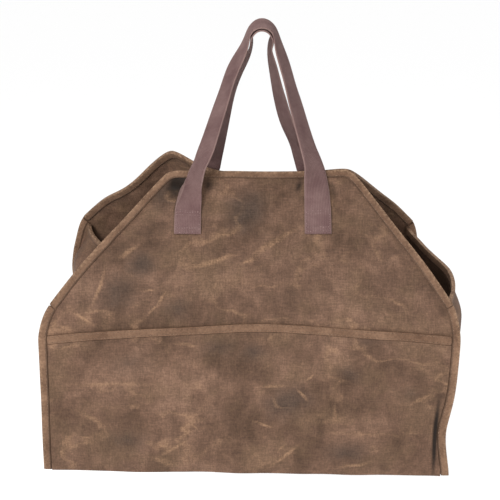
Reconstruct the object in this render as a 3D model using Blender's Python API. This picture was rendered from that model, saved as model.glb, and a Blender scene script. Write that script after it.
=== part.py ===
"""Canvas log carrier, hanging from the top of its two webbing handles.

One strip of waxed canvas makes the front, the base and the rear. Two gussets
close the ends up to the shoulders. Folded tape binds the rims, the side seams
and the gusset tops, and an outer layer of canvas covers the lower part.

Metres, +Z up, the front faces -Y. The origin is the underside of the top of
the handles, where a hook or a hand carries the bag.
"""
import math
from bisect import bisect_right

import bpy
import bmesh
from mathutils import Vector

# Driving sizes of the body
BODY_WIDTH = 0.574        # across the two side seams, tape to tape
BODY_DEPTH = 0.330        # front to rear at the shoulders
SIDE_HEIGHT = 0.245       # base to shoulder
RIM_HEIGHT = 0.404        # base to the front rim
RIM_WIDTH = 0.276         # corner to corner of a rim
RIM_SHIFT = 0.014         # the rims hang this far to the right of the base
RIM_SPREAD = 0.056        # front rim to rear rim
SLOPE_LENGTH = 0.196      # rim to shoulder, along the cloth
SEAM_START = 0.184        # rim to the top of the side seams, along the cloth
BASE_SAG = 0.008          # the middle of the base hangs below its edges
BASE_TILT = 0.0105        # the right end of the base hangs lower than the left

# Walls and trim
CLOTH = 0.0020            # waxed canvas
TAPE = 0.0010             # binding tape
TAPE_WIDTH = 0.0110       # how far a tape reaches over the cloth
FOLD_DEPTH = 0.0135       # seam edge to the fold of the gusset
BAND_HEIGHT = 0.0130      # bound top edge of the outer layer
BAND_THICKNESS = 0.0026
LAYER_HEIGHT = 0.214      # base to the top of the band, along the cloth
GAP = 0.0005              # between pieces that touch
TAPE_GAP = 0.0008         # between a folded tape and the cloth in it
TAPE_STEP = 0.0030        # between the end of a rim tape and a seam tape

# Handles
STRAP_WIDTH = 0.038
STRAP = 0.0020
STRAP_SPACING = 0.184     # between the sewn ends, centre to centre
STRAP_SHIFT = 0.004       # middle of the sewn ends, right of the base
STRAP_DEPTH = 0.094       # rim to the end of a strap, along the cloth
SEWN_LENGTH = 0.036       # stitched stretch at the end of a strap
SEWN_GAP = 0.0008         # between a strap and the curved cloth under it
HANG_HEIGHT = 0.606       # base to the hanging point
HANG_X = 0.017            # the hanging point, right of the base
BEND_RADIUS = 0.0150      # underside of the inner handle
BEND_GAP = 0.0016         # between the two handles over the bend
RIM_STAND = 0.0025        # a leg stands this far off the rim tape

# Meshing
COLUMNS = 14              # across the cloth strip
SLOPE_STEP = 0.024        # between rows beside the slopes
SIDE_ROWS = 7             # down a side, below the band
BASE_ROWS = 10            # under the base
BASE_TURN = 0.008         # half the bend between a side and the base
SAMPLES = 24              # along the section, for each row of PROFILE
FREE_PARTS = 3            # of a free leg, between two controls
STEP = 0.0015             # for slopes and normals of the cloth
TANGENT_STEP = 0.05       # for the direction of a strap, in controls
MITRE_LIMIT = 0.5         # keeps an inset corner near its outline
SHARP_ANGLE = 40          # degrees, from which an edge is shaded sharp

# Section of the cloth strip, from the front rim round the base to the rear
# rim, for the middle and for the two ends. Outward runs from the rim to the
# half depth. Up is in side heights under the shoulder, from shoulder to rim
# above it, and in sags under the base.
PROFILE = (
    # outward middle, up middle, outward end, up end
    (0.06, 1.00, 0.04, 1.05),
    (0.34, 0.63, 0.44, 0.66),
    (0.61, 0.28, 0.78, 0.30),
    (0.79, -0.01, 0.98, -0.02),
    (0.88, -0.27, 1.01, -0.31),
    (0.96, -0.63, 1.02, -0.65),
    (1.02, -0.95, 1.04, -0.95),
    (0.93, -1.00, 0.95, -1.00),
    (0.23, -2.00, 0.23, -1.30),
    (0.23, -2.00, 0.23, -1.30),
    (0.93, -1.00, 0.95, -1.00),
    (1.02, -0.95, 1.04, -0.95),
    (0.98, -0.63, 1.03, -0.63),
    (0.93, -0.26, 1.02, -0.24),
    (0.84, 0.03, 1.00, 0.15),
    (0.61, 0.32, 0.82, 0.47),
    (0.27, 0.62, 0.49, 0.77),
    (-0.08, 0.90, 0.01, 0.98),
)
FRONT_CORNER, REAR_CORNER = 6.5, 10.5    # rows of PROFILE at the base edges

# Outline of a panel under its rim: down in slope lengths, and how far the edge
# has gone from the rim corner to the side.
OUTLINE = (
    # down, left, right
    (0.00, -0.115, -0.115),
    (0.02, -0.035, -0.040),
    (0.055, 0.005, 0.010),
    (0.11, 0.060, 0.075),
    (0.50, 0.475, 0.475),
    (0.84, 0.840, 0.840),
    (0.93, 0.915, 0.920),
    (1.00, 0.975, 0.965),
    (1.08, 1.020, 1.000),
)

# Waves of the outline, above the base in side heights, inward in body widths.
SEAM_WAVES = (
    # panel, side, above, half length, inward
    (-1, 1, 0.24, 0.17, 0.015),
    (-1, -1, 0.00, 0.50, -0.008),
    (-1, 1, 0.80, 0.22, -0.004),
    (1, -1, 0.98, 0.30, -0.013),
    (1, 1, 1.32, 0.28, 0.008),
)

# Dents of the strip. Across in half widths, all else in slope lengths, down
# from the rim of that panel.
DENTS = (
    # panel, across, down, half width, half length, outward, upward
    (-1, -0.50, 0.16, 0.20, 0.26, -0.070, 0.0),
    (-1, -0.10, 0.10, 0.18, 0.22, -0.030, 0.0),
    (-1, 0.52, 0.20, 0.20, 0.26, -0.045, 0.0),
    (-1, -0.35, 0.95, 0.50, 0.30, 0.030, 0.0),
    (-1, 0.50, 0.90, 0.45, 0.28, 0.030, 0.0),
    (-1, 0.05, 1.15, 0.40, 0.28, -0.040, 0.0),
    (-1, -0.50, 1.70, 0.50, 0.30, 0.028, 0.0),
    (-1, 0.25, 1.80, 0.45, 0.28, -0.028, 0.0),
    (-1, 0.80, 1.95, 0.26, 0.26, -0.050, 0.0),
    (1, -0.48, 0.02, 0.28, 0.50, 0.150, 0.16),
    (1, -0.85, 0.75, 0.35, 0.45, 0.020, 0.05),
    (1, 0.54, 0.00, 0.26, 0.35, -0.110, 0.04),
    (1, 0.05, 0.95, 0.60, 0.40, -0.060, 0.0),
    (1, -0.45, 1.60, 0.50, 0.30, 0.035, 0.0),
    (1, 0.50, 1.70, 0.45, 0.30, -0.030, 0.0),
)

# Top edges of the gussets, from the front seam to the rear seam: outward in
# half depths, down in side heights.
GUSSET_TOPS = {
    -1: (
        # along, outward, down
        (0.00, 0.00, 0.00),
        (0.18, -0.16, 0.05),
        (0.38, -0.44, 0.14),
        (0.56, -0.46, 0.16),
        (0.74, -0.20, 0.09),
        (0.90, -0.03, 0.02),
        (1.00, 0.00, 0.00),
    ),
    1: (
        (0.00, 0.00, 0.00),
        (0.14, 0.13, -0.01),
        (0.32, 0.18, -0.02),
        (0.50, 0.16, -0.01),
        (0.68, 0.11, 0.01),
        (0.86, 0.05, 0.01),
        (1.00, 0.00, 0.00),
    ),
}

# Swells of the gussets under their top edges, outward in half depths. They
# fade out at the seams and under the tape, in shares of the gusset.
SEAM_FADE, TOP_FADE = 0.2, 0.1
GUSSET_SWELLS = (
    # side, along, down, half width, half height, outward
    (-1, 0.78, 0.26, 0.20, 0.26, 0.30),
    (-1, 0.28, 0.55, 0.25, 0.30, 0.09),
    (1, 0.32, 0.42, 0.28, 0.34, 0.10),
    (1, 0.72, 0.60, 0.24, 0.30, 0.07),
)

# Lower part of each leg, over the cloth between the stitches and the rim:
# up from the stitches, along from the sewn end to where the leg crosses the
# rim, and how far the strap has turned edge-on.
LIFTS = (
    # up, along, turn
    (0.35, 0.18, 0.12),
    (0.70, 0.55, 0.30),
)

# Upper part of each leg: up from the rim to the hanging point, along from the
# sewn end to the hanging point, out from the rim to it, and turn.
UPS = (0.07, 0.18, 0.33, 0.52, 0.70, 0.86)
OUTS = (0.04, 0.13, 0.30, 0.55, 0.76, 0.91)
TURNS = (0.50, 0.60, 0.65, 0.70, 0.84, 0.97)
ALONGS = {
    # panel, side: along at each height of UPS
    (-1, -1): (0.16, 0.25, 0.35, 0.476, 0.60, 0.755),
    (-1, 1): (0.08, 0.17, 0.29, 0.43, 0.565, 0.69),
    (1, -1): (0.31, 0.37, 0.44, 0.53, 0.68, 0.845),
    (1, 1): (0.20, 0.31, 0.51, 0.660, 0.775, 0.85),
}
ARC_ANGLES = {-1: (148, 119, 90, 61, 32), 1: (158, 124, 90, 50, 8)}    # over the hanging point
SEWN_STATIONS = 5                        # along the stitched stretch

HALF_WIDTH = BODY_WIDTH / 2
HALF_DEPTH = BODY_DEPTH / 2
HALF_SPREAD = RIM_SPREAD / 2
EDGE = TAPE + TAPE_GAP                   # cloth edge, inside the folded tape
INSET = TAPE_WIDTH + TAPE_GAP            # clear of the tape
ORIGIN = Vector((HANG_X, 0.0, HANG_HEIGHT))


def spline(rows, place):
    """Catmull-Rom through the rows, at a row number that may be a fraction."""
    last = len(rows) - 1
    i = max(0, min(int(math.floor(place)), last - 1))
    t = place - i
    b, c = rows[i], rows[i + 1]
    a = rows[i - 1] if i else [2 * p - q for p, q in zip(b, c)]
    d = rows[i + 2] if i + 2 <= last else [2 * q - p for p, q in zip(b, c)]
    return [0.5 * (2 * q + (r - p) * t + (2 * p - 5 * q + 4 * r - s) * t ** 2
                   + (3 * q - p - 3 * r + s) * t ** 3) for p, q, r, s in zip(a, b, c, d)]


def even_spline(rows, place):
    """Centripetal Catmull-Rom: stays smooth where points of x, y, z crowd."""
    last = len(rows) - 1
    i = min(int(place), last - 1)
    b, c = rows[i], rows[i + 1]
    a = rows[i - 1] if i else [2 * p - q for p, q in zip(b, c)]
    d = rows[i + 2] if i + 2 <= last else [2 * q - p for p, q in zip(b, c)]
    knots = [0.0]
    for p, q in ((a, b), (b, c), (c, d)):
        knots.append(knots[-1] + math.dist(p[:3], q[:3]) ** 0.5)
    u = knots[1] + (place - i) * (knots[2] - knots[1])

    def mix(p, q, low, high):
        t = (u - knots[low]) / (knots[high] - knots[low])
        return [x + (y - x) * t for x, y in zip(p, q)]

    ab, bc, cd = mix(a, b, 0, 1), mix(b, c, 1, 2), mix(c, d, 2, 3)
    return mix(mix(ab, bc, 0, 2), mix(bc, cd, 1, 3), 1, 2)


def steps(rows, place):
    """Straight lines between the rows, whose first column is the place."""
    for low, high in zip(rows, rows[1:]):
        if place <= high[0]:
            t = max(0.0, (place - low[0]) / (high[0] - low[0]))
            return [p + (q - p) * t for p, q in zip(low, high)]
    return list(rows[-1])


def bump(distance, half_size):
    return math.exp(-(distance / half_size) ** 2)


def profile_y(side, share):
    return side * (HALF_SPREAD + share * (HALF_DEPTH - HALF_SPREAD))


def profile_z(share):
    if share > 0:
        return SIDE_HEIGHT + share * (RIM_HEIGHT - SIDE_HEIGHT)
    if share >= -1:
        return SIDE_HEIGHT * (1 + share)
    return BASE_SAG * (1 + share)


def section_rows():
    rows = []
    for i, (out_mid, up_mid, out_end, up_end) in enumerate(PROFILE):
        side = -1 if i < len(PROFILE) / 2 else 1
        rows.append((profile_y(side, out_mid), profile_z(up_mid),
                     profile_y(side, out_end), profile_z(up_end)))
    return rows


def track():
    """Distance along the middle of the strip at each sampled place."""
    distances, places = [0.0], [0.0]
    before = SECTION[0]
    for i in range(1, (len(SECTION) - 1) * SAMPLES + 1):
        here = spline(SECTION, i / SAMPLES)
        distances.append(distances[-1] + math.hypot(here[0] - before[0], here[1] - before[1]))
        places.append(i / SAMPLES)
        before = here
    return distances, places


SECTION = section_rows()
DISTANCES, PLACES = track()
TOTAL = DISTANCES[-1]


def place_at(distance):
    i = max(1, min(bisect_right(DISTANCES, distance), len(DISTANCES) - 1))
    t = (distance - DISTANCES[i - 1]) / (DISTANCES[i] - DISTANCES[i - 1])
    return PLACES[i - 1] + t * (PLACES[i] - PLACES[i - 1])


def distance_at(place):
    i = min(int(place * SAMPLES), len(DISTANCES) - 2)
    t = place * SAMPLES - i
    return DISTANCES[i] + t * (DISTANCES[i + 1] - DISTANCES[i])


FRONT_BASE = distance_at(FRONT_CORNER)
REAR_BASE = distance_at(REAR_CORNER)


def under_rim(distance):
    """The panel, -1 front or 1 rear, and the distance under its own rim."""
    if distance < TOTAL / 2:
        return -1, distance
    return 1, TOTAL - distance


def edge_x(side, distance):
    """Outline of the strip: x of its left (-1) or right (1) edge."""
    panel, down = under_rim(distance)
    spread = steps(OUTLINE, down / SLOPE_LENGTH)[1 if side < 0 else 2]
    corner = RIM_SHIFT + side * RIM_WIDTH / 2
    x = corner + spread * (side * HALF_WIDTH - corner)
    above = (FRONT_BASE - distance if panel < 0 else distance - REAR_BASE) / SIDE_HEIGHT
    for wave_panel, wave_side, wave_above, half_length, inward in SEAM_WAVES:
        if (wave_panel, wave_side) == (panel, side):
            x -= side * inward * BODY_WIDTH * bump(above - wave_above, half_length)
    return x


def cloth_point(x, distance):
    """Inner face of the strip at flat coordinates x and distance."""
    y_mid, z_mid, y_end, z_end = spline(SECTION, place_at(distance))
    end = min(1.0, abs(x) / HALF_WIDTH) ** 2
    point = Vector((x, y_mid + end * (y_end - y_mid), z_mid + end * (z_end - z_mid)))
    low = max(0.0, min(1.0, 1 - point.z / SIDE_HEIGHT))
    point.z -= BASE_TILT * (0.5 + x / BODY_WIDTH) * low
    panel, down = under_rim(distance)
    for dent_panel, across, dent_down, half_width, half_length, outward, upward in DENTS:
        if dent_panel == panel:
            weight = SLOPE_LENGTH * bump((x - across * HALF_WIDTH) / SLOPE_LENGTH, half_width) \
                * bump(down / SLOPE_LENGTH - dent_down, half_length)
            point.y += panel * outward * weight
            point.z += upward * weight
    return point


def cloth(x, distance, out=0.0):
    """A point at a distance out from the inner face of the strip."""
    along_x = cloth_point(x + STEP, distance) - cloth_point(x - STEP, distance)
    along = cloth_point(x, distance + STEP) - cloth_point(x, distance - STEP)
    return cloth_point(x, distance) + along.cross(along_x).normalized() * out


def row_distances():
    """Distances of the mesh rows of one panel, from its rim to its base edge."""
    slope = []
    for low, high in zip(OUTLINE, OUTLINE[1:]):
        if high[0] * SLOPE_LENGTH < SEAM_START - TAPE_STEP:
            parts = max(1, round((high[0] - low[0]) * SLOPE_LENGTH / SLOPE_STEP))
            slope += [low[0] + (high[0] - low[0]) * i / parts for i in range(parts)]
    return [share * SLOPE_LENGTH for share in slope]


def side_distances(base):
    """Rows from the shoulder to the base edge that lies at distance base."""
    band_top = base - LAYER_HEIGHT
    band_low = band_top + BAND_HEIGHT
    first = [SEAM_START - TAPE_STEP, SEAM_START, SEAM_START + INSET, band_top, band_low + GAP]
    turn = base - BASE_TURN
    return first + [first[-1] + (turn - first[-1]) * i / SIDE_ROWS for i in range(1, SIDE_ROWS + 1)]


def all_rows():
    front = row_distances() + side_distances(FRONT_BASE)
    rear_base = TOTAL - REAR_BASE
    rear = row_distances() + side_distances(rear_base)
    base = [FRONT_BASE]
    low, high = FRONT_BASE + BASE_TURN, REAR_BASE - BASE_TURN
    base += [low + (high - low) * i / BASE_ROWS for i in range(BASE_ROWS + 1)]
    base += [REAR_BASE]
    return front + base + [TOTAL - distance for distance in reversed(rear)], len(front)


ROWS, FRONT_COUNT = all_rows()
LAST_ROW = len(ROWS) - 1
SHOULDER = len(row_distances()) + 1                  # first row of the side seam
BAND_TOP, BAND_LOW = SHOULDER + 2, SHOULDER + 3
FRONT_TURN, REAR_TURN = FRONT_COUNT, LAST_ROW - FRONT_COUNT


def outline_ring():
    """Flat points round the strip: front rim, right side, rear rim, left side."""
    def rim(distance):
        left, right = edge_x(-1, distance), edge_x(1, distance)
        return [(left + (right - left) * i / COLUMNS, distance) for i in range(COLUMNS + 1)]

    right = [(edge_x(1, distance), distance) for distance in ROWS]
    left = [(edge_x(-1, distance), distance) for distance in ROWS]
    return rim(ROWS[0]) + right[1:] + rim(ROWS[-1])[-2::-1] + left[-2:0:-1]


RING = outline_ring()
RIGHT_START = COLUMNS                     # ring number of right row 0
LEFT_START = len(RING)                    # ring number of left row 0


def ring_at(side, row):
    """Ring number of a row on one side."""
    return RIGHT_START + row if side > 0 else (LEFT_START - row) % len(RING)


def inset_at(number, inset):
    """Flat point at an inset from the outline, mitred at its corners."""
    before, here, after = (Vector(RING[(number + i) % len(RING)]) for i in (-1, 0, 1))
    first, second = (here - before).normalized(), (after - here).normalized()
    normal = Vector((-first.y - second.y, first.x + second.x)).normalized()
    stretch = normal.x * -first.y + normal.y * first.x
    return here + normal * (inset / max(stretch, MITRE_LIMIT))


def build(name, vertices, faces, material):
    """A closed object from loops of vertices and faces, in its own material."""
    bm = bmesh.new()
    points = [bm.verts.new(vertex - ORIGIN) for vertex in vertices]
    for face in faces:
        bm.faces.new([points[i] for i in face])
    bmesh.ops.recalc_face_normals(bm, faces=bm.faces)
    bmesh.ops.triangulate(bm, faces=bm.faces)
    mesh = bpy.data.meshes.new(name)
    bm.to_mesh(mesh)
    bm.free()
    mesh.shade_smooth()
    mesh.set_sharp_from_angle(angle=math.radians(SHARP_ANGLE))
    mesh.materials.append(principled(name, *material))
    thing = bpy.data.objects.new(name, mesh)
    bpy.context.collection.objects.link(thing)
    return thing


def grid_faces(rows, columns, start=0):
    """Quads of a grid of points stored row by row."""
    return [(start + r * columns + c, start + r * columns + c + 1,
             start + (r + 1) * columns + c + 1, start + (r + 1) * columns + c)
            for r in range(rows - 1) for c in range(columns - 1)]


def slab(name, rows_below, rows_above, material):
    """A closed slab between two grids of points."""
    rows, columns = len(rows_below), len(rows_below[0])
    vertices = [p for row in rows_below for p in row] + [p for row in rows_above for p in row]
    top = rows * columns
    rim = [(0, c) for c in range(columns)] + [(r, columns - 1) for r in range(1, rows)] \
        + [(rows - 1, c) for c in range(columns - 2, -1, -1)] + [(r, 0) for r in range(rows - 2, 0, -1)]
    loop = [r * columns + c for r, c in rim]
    faces = grid_faces(rows, columns) + grid_faces(rows, columns, top)
    faces += [(a, b, b + top, a + top) for a, b in zip(loop, loop[1:] + loop[:1])]
    return build(name, vertices, faces, material)


def inner_grid(first_row, last_row):
    """Flat points between the insets of the two sides, row by row."""
    grid = []
    for row in range(first_row, last_row + 1):
        left, right = inset_at(ring_at(-1, row), INSET), inset_at(ring_at(1, row), INSET)
        flat = [left.lerp(right, i / COLUMNS) for i in range(COLUMNS + 1)]
        if row == 0:
            flat = [inset_at(i, INSET) for i in range(COLUMNS + 1)]
        if row == LAST_ROW:
            flat = [inset_at(ring_at(1, row) + COLUMNS - i, INSET) for i in range(COLUMNS + 1)]
        grid.append(flat)
    return grid


def cloth_strip(material):
    """Front, base and rear in one piece, its edge inside the folded tapes."""
    flat = inner_grid(0, LAST_ROW)
    rows, columns = len(flat), COLUMNS + 1
    edge = [inset_at(i, EDGE) for i in range(len(RING))]
    vertices, faces = [], []
    inner_ring = [0] * len(RING)
    for i in range(columns):
        inner_ring[i] = i
        inner_ring[ring_at(1, LAST_ROW) + i] = (rows - 1) * columns + COLUMNS - i
    for row in range(rows):
        inner_ring[ring_at(1, row)] = row * columns + COLUMNS
        inner_ring[ring_at(-1, row)] = row * columns
    size = rows * columns + len(RING)
    for layer, out in enumerate((0.0, CLOTH)):
        vertices += [cloth(x, d, out) for line in flat for x, d in line]
        vertices += [cloth(x, d, out) for x, d in edge]
        start = layer * size
        faces += grid_faces(rows, columns, start)
        ring = [start + rows * columns + i for i in range(len(RING))]
        inner = [start + i for i in inner_ring]
        for i in range(len(RING)):
            j = (i + 1) % len(RING)
            faces.append((inner[i], inner[j], ring[j], ring[i]))
    first = rows * columns
    for i in range(len(RING)):
        j = (i + 1) % len(RING)
        faces.append((first + i, first + j, size + first + j, size + first + i))
    return build("cloth_strip", vertices, faces, material)


def sweep(name, sections, material):
    """A closed bar through loops of points with the same count."""
    count = len(sections[0])
    vertices = [p for section in sections for p in section]
    faces = []
    for s in range(len(sections) - 1):
        for i in range(count):
            j = (i + 1) % count
            a, b = s * count, (s + 1) * count
            faces.append((a + i, a + j, b + j, b + i))
    last = (len(sections) - 1) * count
    half = count // 2
    for base in (0, last):
        for i in range(half - 1):
            faces.append((base + i, base + i + 1, base + count - 2 - i, base + count - 1 - i))
    return build(name, vertices, faces, material)


def fold_section(low, high):
    """Section of a folded tape: inset from its fold, and out from the cloth."""
    inner_low, inner_high = low - TAPE_GAP, high + TAPE_GAP
    outer_low, outer_high = inner_low - TAPE, inner_high + TAPE
    return ((TAPE_WIDTH, outer_high), (0.0, outer_high), (0.0, outer_low), (TAPE_WIDTH, outer_low),
            (TAPE_WIDTH, inner_low), (TAPE, inner_low), (TAPE, inner_high), (TAPE_WIDTH, inner_high))


def edge_tape(name, numbers, low, high, material):
    """Tape folded over a stretch of the outline."""
    sections = []
    for number in numbers:
        section = []
        for inset, out in fold_section(low, high):
            x, distance = inset_at(number, inset)
            section.append(cloth(x, distance, out))
        sections.append(section)
    return sweep(name, sections, material)


def rim_numbers(panel):
    """Ring numbers from one shoulder over the rim to the other."""
    if panel < 0:
        rows = range(SHOULDER - 1, 0, -1)
        return [ring_at(-1, row) for row in rows] + list(range(COLUMNS + 1)) \
            + [ring_at(1, row) for row in reversed(rows)]
    rows = range(LAST_ROW - SHOULDER + 1, LAST_ROW)
    corner = ring_at(1, LAST_ROW)
    return [ring_at(1, row) for row in rows] + list(range(corner, corner + COLUMNS + 1)) \
        + [ring_at(-1, row) for row in reversed(rows)]


def seam_numbers(side):
    """Ring numbers of the side seam, front shoulder to rear shoulder."""
    return [ring_at(side, row) for row in range(SHOULDER, LAST_ROW - SHOULDER + 1)]


def outer_layer(material):
    """Second layer of cloth, from the front band round the base to the rear."""
    first, last = BAND_LOW, LAST_ROW - BAND_LOW
    flat = inner_grid(first, last)
    out = CLOTH + GAP
    below = [[cloth(x, d, out) for x, d in line] for line in flat]
    above = [[cloth(x, d, out + CLOTH) for x, d in line] for line in flat]
    return slab("outer_layer", below, above, material)


def band(name, top_row, low_row, material):
    """Bound top edge of the outer layer, across one panel."""
    top, low = inner_grid(top_row, top_row)[0], inner_grid(low_row, low_row)[0]
    shift = GAP if low_row > top_row else -GAP
    out = CLOTH + GAP
    sections = []
    for (x_top, d_top), (x_low, d_low) in zip(top, low):
        sections.append([cloth(x_top, d_top, out), cloth(x_top, d_top, out + BAND_THICKNESS),
                         cloth(x_low, d_low - shift, out + BAND_THICKNESS),
                         cloth(x_low, d_low - shift, out)])
    return sweep(name, sections, material)


def gusset_top(side, front, rear, along):
    """Middle of the gusset's wall along its top edge."""
    _, outward, down = spline(GUSSET_TOPS[side], place_in(GUSSET_TOPS[side], along))
    point = front.lerp(rear, along)
    return point + Vector((side * outward * HALF_DEPTH, 0, -down * SIDE_HEIGHT))


def place_in(rows, value):
    """Row number, as a fraction, at which the first column reaches a value."""
    for i, (low, high) in enumerate(zip(rows, rows[1:])):
        if value <= high[0]:
            return i + (value - low[0]) / (high[0] - low[0])
    return len(rows) - 1


def gusset_grid(side):
    """Middle of the gusset's wall, row by row from its top edge to the base."""
    middle = -GAP - CLOTH / 2

    def fold(row):
        x, distance = inset_at(ring_at(side, row), FOLD_DEPTH)
        return cloth(x, distance, middle)

    front = [fold(row) for row in range(SHOULDER, FRONT_TURN + 1)]
    rear = [fold(row) for row in range(LAST_ROW - SHOULDER, REAR_TURN - 1, -1)]
    base = [fold(row) for row in range(FRONT_TURN, REAR_TURN + 1)]
    lengths = [0.0]
    for a, b in zip(base, base[1:]):
        lengths.append(lengths[-1] + (b - a).length)
    alongs = [length / lengths[-1] for length in lengths]
    heights = [0.0]
    for a, b in zip(front, front[1:]):
        heights.append(heights[-1] + (b - a).length)
    downs = [height / heights[-1] for height in heights]
    top = [gusset_top(side, front[0], rear[0], along) for along in alongs]
    grid = []
    for j, down in enumerate(downs):
        line = []
        for i, along in enumerate(alongs):
            point = top[i].lerp(base[i], down) + front[j].lerp(rear[j], along)
            corners = front[0].lerp(rear[0], along).lerp(base[0].lerp(base[-1], along), down)
            point -= corners
            for swell_side, s_along, s_down, half_width, half_height, outward in GUSSET_SWELLS:
                if swell_side == side:
                    edge = min(1.0, along / SEAM_FADE, (1 - along) / SEAM_FADE,
                               (1 - down) / SEAM_FADE, down / TOP_FADE)
                    point.x += side * outward * HALF_DEPTH * edge \
                        * bump(along - s_along, half_width) * bump(down - s_down, half_height)
            line.append(point)
        grid.append(line)
    for i in range(1, len(alongs) - 1):
        grid[1][i] = grid[0][i] - Vector((0, 0, heights[1]))
    return grid


def wall_normals(grid, side):
    """Outward normals of a grid of points, row by row."""
    rows, columns = len(grid), len(grid[0])
    normals = []
    for r in range(rows):
        line = []
        for c in range(columns):
            down = grid[min(r + 1, rows - 1)][c] - grid[max(r - 1, 0)][c]
            along = grid[r][min(c + 1, columns - 1)] - grid[r][max(c - 1, 0)]
            line.append(down.cross(along).normalized() * side)
        normals.append(line)
    return normals


def gusset(name, side, material):
    """End wall, with a flange along the front, base and rear seams."""
    grid = gusset_grid(side)
    normals = wall_normals(grid, side)
    rows, columns = len(grid), len(grid[0])
    fold = [(r, 0) for r in range(rows)] + [(rows - 1, c) for c in range(1, columns)] \
        + [(r, columns - 1) for r in range(rows - 2, -1, -1)]
    numbers = seam_numbers(side)
    size = rows * columns + len(numbers)
    vertices, faces = [], []
    for layer, (turn, out) in enumerate(((CLOTH / 2, -GAP), (-CLOTH / 2, -GAP - CLOTH))):
        wall = [[point - normal * turn for point, normal in zip(*lines)]
                for lines in zip(grid, normals)]
        flange = []
        for (r, c), number in zip(fold, numbers):
            x, distance = inset_at(number, FOLD_DEPTH + turn)
            wall[r][c] = cloth(x, distance, out)
            x, distance = inset_at(number, EDGE)
            flange.append(cloth(x, distance, out))
        vertices += [point for line in wall for point in line] + flange
        start = layer * size
        faces += grid_faces(rows, columns, start)
        inner = [start + r * columns + c for r, c in fold]
        outer = [start + rows * columns + i for i in range(len(numbers))]
        faces += [(inner[i], inner[i + 1], outer[i + 1], outer[i]) for i in range(len(numbers) - 1)]
    first = rows * columns
    rim = list(range(columns)) + [first + i for i in range(len(numbers) - 1, -1, -1)]
    faces += [(a, b, size + b, size + a) for a, b in zip(rim, rim[1:] + rim[:1])]
    return build(name, vertices, faces, material)


def gusset_tape(name, side, material):
    """Tape folded over the top edge of a gusset, between the two seams."""
    grid = gusset_grid(side)
    normals = wall_normals(grid, side)
    sections = []
    for i in range(1, len(grid[0]) - 1):
        down = (grid[1][i] - grid[0][i]).normalized()
        fold = grid[0][i] - down * EDGE
        sections.append([fold + down * inset + normals[0][i] * height
                         for inset, height in fold_section(-CLOTH / 2, CLOTH / 2)])
    return sweep(name, sections, material)


def leg(panel, side):
    """Middle of one leg and its direction from outer to inner edge."""
    def flat(distance):
        return distance if panel < 0 else TOTAL - distance

    def turned(point_x, distance, turn):
        """On the cloth, with the inner edge lifted by the turn."""
        angle = turn * math.pi / 2
        here = cloth(point_x, flat(distance))
        across = (cloth(point_x - side * half, flat(distance)) - here).normalized()
        normal = cloth(point_x, flat(distance), 1.0) - here
        clear = stack + (EDGE if turn else 0.0)
        lifts = []
        for s in (-1, -0.5, 0, 0.5, 1):
            under = cloth(point_x + side * half * math.cos(angle) * s, flat(distance)) - here
            lifts.append(under.dot(normal) + clear + s * half * math.sin(angle))
        lift = max(lifts)
        return here + normal * lift, across * math.cos(angle) + normal * math.sin(angle)

    half = STRAP_WIDTH / 2
    stack = CLOTH + SEWN_GAP + STRAP / 2
    x_end = STRAP_SHIFT + side * STRAP_SPACING / 2
    controls = [turned(x_end, STRAP_DEPTH - SEWN_LENGTH * i / (SEWN_STATIONS - 1), 0.0)
                for i in range(SEWN_STATIONS)]
    free = STRAP_DEPTH - SEWN_LENGTH
    alongs = ALONGS[panel, side]
    for up, along, turn in LIFTS:
        controls.append(turned(x_end + along * alongs[0] * (HANG_X - x_end), free * (1 - up), turn))
    for up, along, out, turn in zip(UPS, alongs, OUTS, TURNS):
        x = x_end + along * (HANG_X - x_end)
        angle = turn * math.pi / 2
        reach_x, reach_y = half * math.cos(angle), half * math.sin(angle)
        facing = abs(cloth(x, flat(0.0), 1.0).y - cloth(x, flat(0.0)).y)
        clear = (stack + EDGE + RIM_STAND) / max(facing, MITRE_LIMIT)
        rims = [panel * cloth(x + side * reach_x * s, flat(0.0)).y + clear + s * reach_y
                for s in (-1, 0, 1)]
        y = (1 - out) * panel * max(rims)
        rim_z = cloth(x, flat(0.0)).z
        controls.append((Vector((x, y, rim_z + up * (HANG_HEIGHT - rim_z))),
                         Vector((-side * math.cos(angle), panel * math.sin(angle), 0))))
    return controls


def handle(name, panel, material):
    """Webbing strap from its left end over the hanging point to its right."""
    radius = BEND_RADIUS + STRAP / 2 + (STRAP + BEND_GAP if panel < 0 else 0.0)
    centre = Vector((HANG_X, 0.0, HANG_HEIGHT - BEND_RADIUS))
    arc = []
    for angle in ARC_ANGLES[panel]:
        a = math.radians(angle)
        arc.append((centre + Vector((math.cos(a), 0, math.sin(a))) * radius, Vector((0, panel, 0))))
    left, right = leg(panel, -1), leg(panel, 1)
    rows = [tuple(p) + tuple(across) for p, across in left + arc + right[::-1]]
    last = len(rows) - 1
    places = []
    for i in range(last):
        free = SEWN_STATIONS <= i < len(left) or last - len(right) <= i < last - SEWN_STATIONS
        parts = FREE_PARTS if free else 1
        places += [i + part / parts for part in range(parts)]
    places.append(last)
    sections = []
    for place in places:
        here = even_spline(rows, place)
        before = even_spline(rows, max(place - TANGENT_STEP, 0))
        after = even_spline(rows, min(place + TANGENT_STEP, last))
        tangent = (Vector(after[:3]) - Vector(before[:3])).normalized()
        across = Vector(here[3:])
        across = (across - tangent * across.dot(tangent)).normalized() * (STRAP_WIDTH / 2)
        thick = tangent.cross(across).normalized() * (STRAP / 2)
        centre = Vector(here[:3])
        sections.append([centre + across * s - thick for s in (-1, 0, 1)]
                        + [centre + across * s + thick for s in (1, 0, -1)])
    return sweep(name, sections, material)


def principled(name, color, roughness):
    material = bpy.data.materials.new(name)
    material.use_nodes = True
    shader = material.node_tree.nodes["Principled BSDF"]
    shader.inputs["Base Color"].default_value = (*color, 1.0)
    shader.inputs["Roughness"].default_value = roughness
    shader.inputs["Metallic"].default_value = 0.0
    return material


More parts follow.
